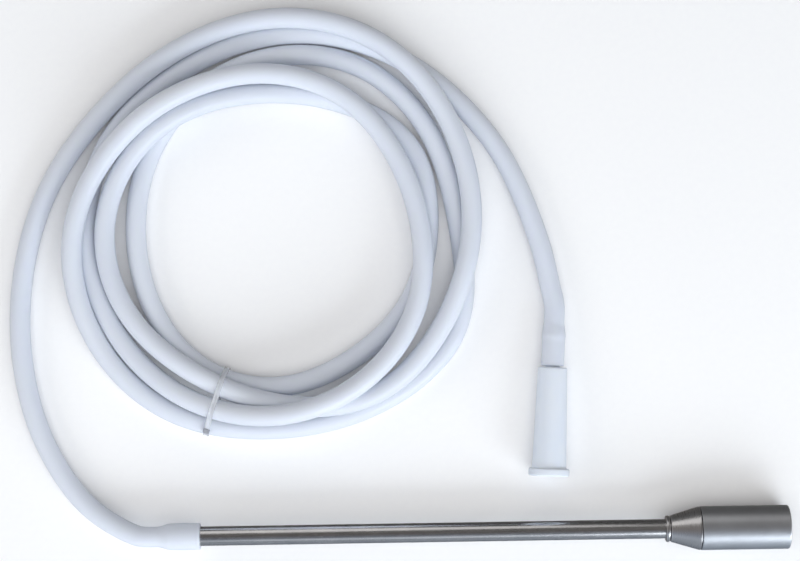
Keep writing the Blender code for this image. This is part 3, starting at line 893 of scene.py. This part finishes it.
@dataclass
class Hose:
    """The silicone hose: over the wand's tail, round the tied coil and onto the connector's stem."""

    finishes: Finishes
    wand: Wand
    connector: Connector
    radius: float = 4.0 * MM
    bore: float = 2.0 * MM
    length: float = 2.2
    facets: int = 28
    station: float = 2.0 * MM
    lying: float = 4.1 * MM             # height of the middle of hose that lies on the surface
    coil_middle: Pair = (47.3 * MM, 120.3 * MM)
    # along X from the exit, along Y, and share of the wand's height above the lying hose
    lead_route: tuple[Triple, ...] = (
        (-11.0, 2.0, 0.80),
        (-24.4, 10.2, 0.32),
        (-37.8, 26.3, 0.04),
        (-46.5, 44.9, 0.0),
        (-51.6, 68.0, 0.0),
        (-52.4, 88.4, 0.0),
        (-50.2, 107.1, 0.0),
        (-45.6, 124.3, 0.0),
        (-41.1, 135.2, 0.0),
    )
    # one radius about the coil's middle every 30 degrees, clockwise from 150
    first_angle: float = 150.0
    angle_step: float = 30.0
    coil_radii: tuple[float, ...] = (
        81.7, 78.3, 81.0, 82.8, 80.2, 77.7, 76.6, 76.4, 68.8, 64.4, 65.6, 65.3,
        60.8, 55.0, 52.3, 55.6, 62.2, 61.0, 61.0, 60.4, 62.8, 61.4, 56.4, 53.8,
        55.7, 60.2, 66.4, 71.4, 71.6, 72.6, 82.4, 80.6, 79.2, 82.7, 82.0, 77.2,
        68.0, 61.8, 59.3, 57.6, 55.4, 57.6, 64.2, 69.6, 73.2, 74.6, 74.0, 73.6,
        72.3, 70.9, 74.8, 80.8,
    )
    tail_route: tuple[Pair, ...] = (
        (124.9, 163.8),
        (138.7, 144.8),
        (144.3, 133.1),
        (149.6, 119.2),
        (153.6, 105.4),
        (156.2, 93.0),
    )
    turn_levels: tuple[float, ...] = (2.0, 1.0, 0.0, 3.0, 0.5)  # a higher turn lies on top
    level_change: float = -125.0        # angle at which the turns change places
    straight_end: float = 18.6 * MM     # straight run beyond the connector's shoulder
    end_gap: float = 0.6 * MM           # between the hose's end and that shoulder
    over_tube: float = 12.0 * MM        # length pushed over the wand's tail
    stretch_play: float = 0.03 * MM     # between the stretched bore and what it is pushed over
    tube_taper: float = 5.5 * MM        # length over which the bore narrows beyond the tube
    stem_taper: float = 4.5 * MM        # and beyond the stem
    taper_lead: float = 0.5 * MM        # how far before the tube's or stem's end that begins
    barb_swell: Pair = (0.8 * MM, 1.3 * MM)  # middle beyond the barb's edge, half width
    cuff_swell: Triple = (0.2 * MM, 6.5 * MM, 4.0 * MM)  # height, middle, half width
    fine_length: float = 20.0 * MM      # stretch at each end with rings close together
    fine_station: float = 0.5 * MM
    lip: Pair = (0.3 * MM, 0.35 * MM)   # length and depth of the broken edge at each end
    touching: float = 0.1 * MM          # between turns that rest on each other
    sag: float = 0.1 * MM               # how far a point sinks in each pass
    passes: int = 900
    reach: int = 6                      # neighbours on each side that share a point's height
    spread: float = 2.6                 # of their weights, a bell curve

    def __post_init__(self) -> None:
        """Find the hose's mouth and its exit behind the wand."""
        self.mouth_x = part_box("hose_cuff")[1].x
        self.exit_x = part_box("hose_cuff")[0].x
        self.wall_area = self.radius**2 - self.bore**2

    def coil_points(self) -> np.ndarray:
        """Return the coil's points: each radius at its angle round the coil's middle."""
        radii = np.array(self.coil_radii) * MM
        angle = np.radians(self.first_angle - self.angle_step * np.arange(len(radii)))
        x = self.exit_x + self.coil_middle[0] + radii * np.cos(angle)
        y = self.coil_middle[1] + radii * np.sin(angle)
        return np.stack([x, y, np.full(len(radii), self.lying)], axis=1)

    def route(self) -> np.ndarray:
        """Return the hose's centreline as if it lay flat, from its mouth to its other end."""
        height = self.wand.height
        mouth = np.array([[self.mouth_x, 0.0, height]])
        start = np.array([[self.exit_x - self.radius, 0.0, height]])
        lead = np.array(self.lead_route)
        rise = self.lying + (height - self.lying) * lead[:, 2]
        lead = np.stack([self.exit_x + lead[:, 0] * MM, lead[:, 1] * MM, rise], axis=1)
        tail = np.array(self.tail_route) * MM
        flat = np.full(len(tail), self.lying)
        tail = np.stack([self.exit_x + tail[:, 0], tail[:, 1], flat], axis=1)
        shoulder = self.connector.shoulder
        straight = np.array([shoulder + self.straight_end + self.radius, shoulder + self.end_gap])
        ends = self.connector.axis.line(straight)[0]
        knots = np.vstack([start, lead, self.coil_points(), tail, ends[:1]])
        backwards = -np.array(self.connector.axis.direction)
        fine = cubic_through(knots, np.array([-1.0, 0.0, 0.0]), backwards, 24)
        return evenly(np.vstack([mouth, fine, ends[1:]]), self.station)

    def turns_done(self, line: np.ndarray) -> np.ndarray:
        """Return how many turns of the coil the hose has made at each point of its centreline.

        Whole numbers fall at the angle where the turns change places. The first turn runs from
        nought to one, and the lead, just below nought, takes the first turn's level.
        """
        x = line[:, 0] - self.exit_x - self.coil_middle[0]
        y = line[:, 1] - self.coil_middle[1]
        angle = -np.unwrap(np.arctan2(y, x))
        angle = angle - angle[0] + math.atan2(-y[0], x[0])
        return (angle - math.radians(-self.level_change)) / TURN

    def above(self, done: np.ndarray, upper: np.ndarray, lower: np.ndarray) -> np.ndarray:
        """Return whether the first point of each pair lies above the second.

        Both are judged at the angle halfway between them, so a pair keeps its order where the
        turns change places.

        Args:
            done: turns done at each point of the centreline.
            upper: number of each pair's first point.
            lower: number of its second point.

        Returns:
            True where the first point's turn has the higher level.
        """
        step = done[lower] - done[upper]
        shift = 0.5 * (step - np.round(step))
        last = len(self.turn_levels) - 1
        levels = np.array(self.turn_levels)
        first = levels[np.clip(np.floor(done[upper] + shift), 0, last).astype(int)]
        second = levels[np.clip(np.floor(done[lower] - shift), 0, last).astype(int)]
        return first > second

    def settled(self, line: np.ndarray) -> np.ndarray:
        """Return the centreline with the heights at which the hose rests on itself.

        Again and again each point's height becomes the mean of its neighbours', less a little for
        its weight, and is then raised onto the surface and onto every lower turn that passes
        under it: at least sqrt(diameter^2 - plan distance^2) above that turn's middle.
        """
        spacing = 2.0 * self.station
        coarse = evenly(line, spacing)
        count = len(coarse)
        plan = np.linalg.norm(coarse[:, None, :2] - coarse[None, :, :2], axis=2)
        apart = np.abs(np.arange(count)[:, None] - np.arange(count)[None]) * spacing > 16.0 * self.radius
        thick = 2.0 * self.radius + self.touching
        upper, lower = np.nonzero((plan < thick) & apart)
        keep = self.above(self.turns_done(coarse), upper, lower)
        upper, lower = upper[keep], lower[keep]
        lift = np.sqrt(thick**2 - plan[upper, lower] ** 2)
        weights = np.exp(-0.5 * (np.arange(-self.reach, self.reach + 1) / self.spread) ** 2)
        weights = weights / weights.sum()
        free = np.abs(coarse[:, 2] - self.lying) < 0.01 * MM
        height = coarse[:, 2].copy()
        for _ in range(self.passes):
            soft = np.convolve(np.pad(height, self.reach, mode="edge"), weights, mode="valid") - self.sag
            rest = np.full(count, self.lying)
            np.maximum.at(rest, upper, height[lower] + lift)
            height = np.where(free, np.maximum(soft, rest), coarse[:, 2])
        soft = np.convolve(np.pad(height, self.reach, mode="edge"), weights, mode="valid")
        height = np.where(free, 0.5 * (height + soft), height)
        along = np.linspace(0.0, 1.0, count)
        heights = np.interp(np.linspace(0.0, 1.0, len(line)), along, height)
        return np.stack([line[:, 0], line[:, 1], heights], axis=1)

    def bore_at(self, along: np.ndarray, total: float) -> np.ndarray:
        """Return the bore's radius along the hose: stretched over the tube and over the stem.

        Args:
            along: distances from the hose's mouth.
            total: the hose's whole length.

        Returns:
            The radius of the bore at each distance.
        """
        on_tube = self.wand.radius + self.stretch_play - self.bore
        narrowing = 1.0 - smoothstep((along - self.over_tube + self.taper_lead) / self.tube_taper)
        from_end = total - along
        stem_end = self.connector.stem_length - self.end_gap
        on_stem = self.connector.stem + self.stretch_play - self.bore
        widening = 1.0 - smoothstep((from_end - stem_end + self.taper_lead) / self.stem_taper)
        swell_middle = stem_end - self.connector.barb_length + self.barb_swell[0]
        over_barb = self.connector.barb * np.exp(-(((from_end - swell_middle) / self.barb_swell[1]) ** 2))
        return self.bore + on_tube * narrowing + on_stem * widening + over_barb

    def build(self) -> tuple[Piece, np.ndarray]:
        """Make the hose as one closed tube with a bore all along it.

        Its outline runs from the mouth along the outside and back inside, and every outline point
        becomes a ring about the centreline. The wall keeps its area where the bore is stretched,
        so the outer radius is sqrt(bore^2 + wall area).

        Returns:
            The piece and its ring centres.
        """
        line = self.settled(self.route())
        total = chord_lengths(line)[-1]
        LOG.info("hose centreline %.3f m", total)
        fine_start = np.arange(0.0, self.fine_length, self.fine_station)
        middle = np.arange(self.fine_length, total - self.fine_length, self.station)
        along = np.concatenate([fine_start, middle, total - fine_start[::-1]])
        bore = self.bore_at(along, total)
        swell, swell_middle, swell_width = self.cuff_swell
        outer = np.sqrt(bore**2 + self.wall_area)
        outer = outer + swell * np.exp(-(((along - swell_middle) / swell_width) ** 2))
        outer[[0, -1]] -= self.lip[1]
        outer_along = along.copy()
        outer_along[[1, -2]] = (self.lip[0], total - self.lip[0])
        distance = np.concatenate([outer_along, along[::-1]])
        radii = np.concatenate([outer, bore[::-1]])
        middles = at_distance(line, distance)
        ahead = at_distance(line, np.clip(distance + 0.5 * self.station, 0.0, total))
        behind = at_distance(line, np.clip(distance - 0.5 * self.station, 0.0, total))
        heading = unit(ahead - behind)
        side = unit(np.cross(UP, heading))
        grid = rings(middles, side, np.cross(heading, side), radii, self.facets)
        piece = mesh_piece(
            "hose",
            grid.reshape(-1, 3),
            grid_faces(len(distance), self.facets, True),
            self.finishes.silicone,
            Body.WAND,
            grid_uv(len(distance), self.facets, distance),
            50.0,
        )
        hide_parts("hose_cuff", "hose_lead", "hose_coil", "hose_tail", "hose_end")
        return piece, at_distance(line, along)


@dataclass
class Tie:
    """The clear strap round the windings, and the lock that holds its ends."""

    finishes: Finishes
    hose_radius: float
    width: float = 2.1 * MM
    thickness: float = 0.35 * MM
    angle: float = -108.8
    lock_lean: float = 60.0
    lock_seat: float = 0.6 * MM         # from the strap's outside to the lock's middle
    lock_half: Triple = (0.95 * MM, 1.25 * MM, 1.1 * MM)
    strap_gap: float = 0.1 * MM         # between the windings and the strap
    lowest: float = 0.02 * MM           # of the strap, above the surface
    edge: float = 0.12 * MM             # extra thickness of the strap's two edges
    furthest: float = 100.0 * MM        # from the coil's middle at which a crossing counts

    def crossing(self, line: np.ndarray, middle: np.ndarray) -> np.ndarray:
        """Return where the hose crosses the tie's plane.

        Args:
            line: the hose's ring centres.
            middle: the coil's middle, in plan.

        Returns:
            Distance from the coil's middle and height of each crossing.
        """
        heading = math.radians(self.angle)
        outward = np.array([math.cos(heading), math.sin(heading)])
        across = np.array([-outward[1], outward[0]])
        offset = line[:, :2] - middle
        far, side = offset @ outward, offset @ across
        here = (far[:-1] > 0.0) & (far[:-1] < self.furthest)
        cut = np.nonzero((side[:-1] * side[1:] <= 0.0) & here)[0]
        share = side[cut] / (side[cut] - side[cut + 1])
        reach = far[cut] + share * (far[cut + 1] - far[cut])
        height = line[cut, 2] + share * (line[cut + 1, 2] - line[cut, 2])
        return np.stack([reach, height], axis=1)

    def build(self, line: np.ndarray, middle: np.ndarray) -> list[Piece]:
        """Make the strap and the lock round the windings.

        The strap's line is the hull of the crossings, each a circle of the hose's radius: for a
        direction n it is c + radius n, where c is the crossing that lies furthest along n.

        Args:
            line: the hose's ring centres.
            middle: the coil's middle, in plan.

        Returns:
            The two pieces.
        """
        found = self.crossing(line, middle)
        LOG.info("windings in the tie: %s", np.round(found / MM, 1).tolist())
        turn = np.linspace(0.0, TURN, 241)[:-1]
        normal = np.stack([np.cos(turn), np.sin(turn)], axis=1)
        outermost = found[(normal @ found.T).argmax(axis=1)]
        inside = outermost + (self.hose_radius + self.strap_gap) * normal
        half, thick = self.width / 2.0, self.thickness + self.edge
        rail, foot = half - 0.35 * MM, half - 0.5 * MM
        profile = rounded(
            [
                (-half, 0.0, 0.05 * MM),
                (half, 0.0, 0.05 * MM),
                (half, thick, 0.1 * MM),
                (rail, thick, 0.1 * MM),
                (foot, self.thickness, 0.1 * MM),
                (-foot, self.thickness, 0.1 * MM),
                (-rail, thick, 0.1 * MM),
                (-half, thick, 0.1 * MM),
            ],
            3,
        )
        heading = math.radians(self.angle)
        outward = np.array([math.cos(heading), math.sin(heading), 0.0])
        across = np.array([-math.sin(heading), math.cos(heading), 0.0])
        centre = np.array([middle[0], middle[1], 0.0])
        reach = inside[None, :, :] + profile[:, None, 1:] * normal[None]
        points = centre + reach[:, :, :1] * outward + reach[:, :, 1:] * UP + profile[:, :1, None] * across
        points[..., 2] = np.maximum(points[..., 2], self.lowest + thick - profile[:, 1:])
        faces = grid_faces(len(profile), len(normal), True)
        strap = mesh_piece("tie_strap_fine", points.reshape(-1, 3), faces, self.finishes.clear, Body.WAND)
        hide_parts("tie_strap")
        lean = math.radians(self.lock_lean)
        away = self.hose_radius + self.thickness + self.lock_seat
        seat = found[found[:, 0].argmax()] + away * np.array([math.cos(lean), math.sin(lean)])
        place = centre + seat[0] * outward + seat[1] * UP
        return [strap, self.lock(place, outward, across)]

    def lock(self, place: np.ndarray, outward: np.ndarray, across: np.ndarray) -> Piece:
        """Make the lock: a small block with rounded sides and edges.

        Its surface is the rounded box |x/a|^6 + |y/b|^6 + |z/c|^6 = 1, worked out from two angles.

        Args:
            place: its middle.
            outward: direction away from the coil's middle.
            across: direction along the hose.

        Returns:
            The new piece.
        """
        half = np.array(self.lock_half)
        rise = np.linspace(-0.5 * math.pi, 0.5 * math.pi, 19)[1:-1][:, None]
        turn = np.arange(32)[None, :] * TURN / 32
        level = np.cos(rise)
        ball = np.stack([level * np.cos(turn), level * np.sin(turn), np.sin(rise) + 0.0 * turn], axis=-1)
        scale = (np.abs(ball) ** 6).sum(axis=-1, keepdims=True) ** (-1.0 / 6.0)
        shape = ball * scale * half
        body = place + shape[..., :1] * outward + shape[..., 1:2] * across + shape[..., 2:] * UP
        rows, columns = body.shape[:2]
        foot, top = (np.tile(place + end * half[2] * UP, (1, columns, 1)) for end in (-1.0, 1.0))
        points = np.concatenate([foot, body, top]).reshape(-1, 3)
        faces = grid_faces(rows + 2, columns, False)
        # Its darker grey finish is painted shade.
        piece = mesh_piece("tie_lock_fine", points, faces, self.finishes.painted_shade_lock, Body.WAND)
        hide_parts("tie_lock")
        return piece


# ---------------------------------------------------------------------------------------------
# Camera, lights and floor


@dataclass
class Studio:
    """The camera above the object, the soft lights and the pale floor."""

    camera_place: Triple = (-29.2 * MM, 98.5 * MM, 800.0 * MM)
    camera_turn: float = -0.93
    lens: float = 91.3
    aim: Triple = (-30.0 * MM, 90.0 * MM, 0.0)
    floor_radii: Pair = (0.02, 4.0)  # of the innermost ring, and what the outermost adds
    floor_rings: int = 24
    floor_facets: int = 96

    def camera(self) -> None:
        """Place the camera: straight down, turned a little about its own axis."""
        data = bpy.data.cameras.new("camera")
        data.lens = self.lens
        data.sensor_width = 36.0
        data.clip_start = 0.01
        data.clip_end = 20.0
        camera = bpy.data.objects.new("camera", data)
        camera.location = self.camera_place
        camera.rotation_euler = (0.0, 0.0, math.radians(self.camera_turn))
        bpy.context.scene.collection.objects.link(camera)
        bpy.context.scene.camera = camera
        bpy.context.scene.view_settings.view_transform = "Standard"

    def light(
        self,
        name: str,
        place: Triple,
        size: Pair,
        watts: float,
        colour: Triple,
        in_gloss: bool,
        in_diffuse: bool,
    ) -> None:
        """Add a rectangular light that faces the middle of the object.

        Args:
            name: the light's name.
            place: its middle.
            size: its width and height.
            watts: its power.
            colour: its colour.
            in_gloss: whether glossy surfaces mirror it.
            in_diffuse: whether it lights matte surfaces.
        """
        data = bpy.data.lights.new(name, "AREA")
        data.shape = "RECTANGLE"
        data.size, data.size_y = size
        data.energy = watts
        data.color = colour
        light = bpy.data.objects.new(name, data)
        light.location = place
        light.rotation_euler = (Vector(self.aim) - light.location).to_track_quat("-Z", "Y").to_euler()
        light.visible_glossy = in_gloss
        light.visible_diffuse = in_diffuse
        light.visible_camera = False
        bpy.context.scene.collection.objects.link(light)

    def lights(self) -> None:
        """Add the lights: four for matte surfaces, a window for all, and two that only gloss mirrors."""
        white, cool = (1.0, 1.0, 1.0), (0.95, 0.975, 1.0)
        self.light("overhead", (0.1, -0.3, 1.6), (1.6, 1.6), 13.0, white, False, True)
        self.light("front_fill", (0.0, -1.6, 0.9), (1.6, 0.9), 10.5, cool, False, True)
        self.light("left_fill", (-1.6, 0.1, 0.9), (1.4, 0.9), 9.0, white, False, True)
        self.light("back_fill", (0.0, 1.7, 0.9), (1.6, 0.9), 4.5, white, False, True)
        self.light("window", (1.0, -1.1, 0.75), (1.1, 0.8), 16.0, (0.86, 0.93, 1.0), True, True)
        self.light("back_strip", (-0.41, 1.35, 1.05), (1.62, 1.0), 4.4, (1.0, 0.99, 0.98), True, False)
        self.light("front_strip", (0.3, -1.3, 1.0), (1.6, 0.7), 1.5, (0.92, 0.96, 1.0), True, False)

    def world(self) -> None:
        """Make the room's light: cool and lighter towards -Y, darkest towards +Y.

        Its strength is 1, and in gloss 1 + 2.2 x the share of |X| between 0.25 and 0.8.
        """
        world = bpy.data.worlds.new("room")
        bpy.context.scene.world = world
        sheet = NodeTree(world)
        background = sheet.tree.nodes["Background"]
        coordinate = sheet.node("ShaderNodeTexCoord")
        split = sheet.node("ShaderNodeSeparateXYZ")
        ramp = sheet.node("ShaderNodeValToRGB")
        reach = sheet.node("ShaderNodeMapRange")
        reach.inputs["From Min"].default_value = -1.0
        sheet.join(coordinate.outputs["Generated"], split.inputs["Vector"])
        sheet.join(split.outputs["Y"], reach.inputs["Value"])
        sheet.join(reach.outputs["Result"], ramp.inputs["Fac"])
        sheet.join(ramp.outputs["Color"], background.inputs["Color"])
        sideways = sheet.node("ShaderNodeMath", operation="ABSOLUTE")
        more = sheet.node("ShaderNodeMapRange")
        for key, value in (("From Min", 0.25), ("From Max", 0.8), ("To Min", 0.0), ("To Max", 2.2)):
            more.inputs[key].default_value = value
        mirrored = sheet.node("ShaderNodeMath", operation="MULTIPLY_ADD")
        mirrored.inputs[2].default_value = 1.0
        ray = sheet.node("ShaderNodeLightPath")
        sheet.join(split.outputs["X"], sideways.inputs[0])
        sheet.join(sideways.outputs[0], more.inputs["Value"])
        sheet.join(more.outputs["Result"], mirrored.inputs[0])
        sheet.join(ray.outputs["Is Glossy Ray"], mirrored.inputs[1])
        sheet.join(mirrored.outputs[0], background.inputs["Strength"])
        stops = (
            (0.0, (0.34, 0.38, 0.43)),
            (0.16, (0.20, 0.23, 0.28)),
            (0.36, (0.15, 0.15, 0.16)),
            (0.52, (0.13, 0.12, 0.115)),
            (0.66, (0.15, 0.145, 0.14)),
            (1.0, (0.075, 0.075, 0.075)),
        )
        elements = ramp.color_ramp.elements
        while len(elements) < len(stops):
            elements.new(0.5)
        for element, (place, colour) in zip(elements, stops):
            element.position = place
            element.color = (*colour, 1.0)

    def floor(self, finish: Material) -> None:
        """Lay the floor: a flat disc whose rings widen outwards, as the square of their number."""
        nearest, widening = self.floor_radii
        radii = nearest + widening * np.linspace(0.0, 1.0, self.floor_rings)[:, None] ** 2
        angle = np.arange(self.floor_facets) * TURN / self.floor_facets
        grid = np.stack([radii * np.cos(angle), radii * np.sin(angle), 0.0 * radii * angle], axis=-1)
        mesh = bpy.data.meshes.new("floor")
        faces = grid_faces(self.floor_rings, self.floor_facets, False).tolist()
        faces.append(list(range(self.floor_facets)))
        mesh.from_pydata(grid.reshape(-1, 3).tolist(), [], faces)
        mesh.materials.append(finish)
        floor = bpy.data.objects.new("floor", mesh)
        floor.visible_glossy = False
        bpy.context.scene.collection.objects.link(floor)


def floor_finish() -> Material:
    """Return the pale floor's material: matte paper with the faintest tooth."""
    sheet = NodeSheet("pale_floor")
    sheet.set(Roughness=0.9, Specular_IOR_Level=0.1)
    tooth = sheet.noise(sheet.place((400.0, 400.0, 400.0)), 2.0)
    sheet.paint(tooth, (0.95, 0.95, 0.955), (0.965, 0.965, 0.965))
    return sheet.material


def main() -> None:
    """Build the camera, the hose and then every other piece, and report each one."""
    logging.basicConfig(level=logging.INFO, format="%(message)s")
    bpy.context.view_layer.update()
    studio = Studio()
    studio.camera()
    finishes = make_finishes()
    wand = Wand(finishes)
    connector = Connector(finishes)
    hose_maker = Hose(finishes, wand, connector)
    hose, line = hose_maker.build()
    body = connector.body()
    tie = Tie(finishes, hose_maker.radius)
    middle = np.array([hose_maker.exit_x + hose_maker.coil_middle[0], hose_maker.coil_middle[1]])
    straps = tie.build(line, middle)
    thread = Thread()
    barrel = Barrel(finishes, wand.height, thread)
    made = [hose, body, *straps, wand.tube(), wand.collar(), wand.cone(thread)]
    made += [barrel.shell(), barrel.washer(), barrel.ring(), barrel.screen()]
    for piece in made:
        LOG.info("%s: %d faces", piece.name, len(piece.data.polygons))
    studio.lights()
    studio.world()
    studio.floor(floor_finish())


if __name__ == "__main__":
    main()
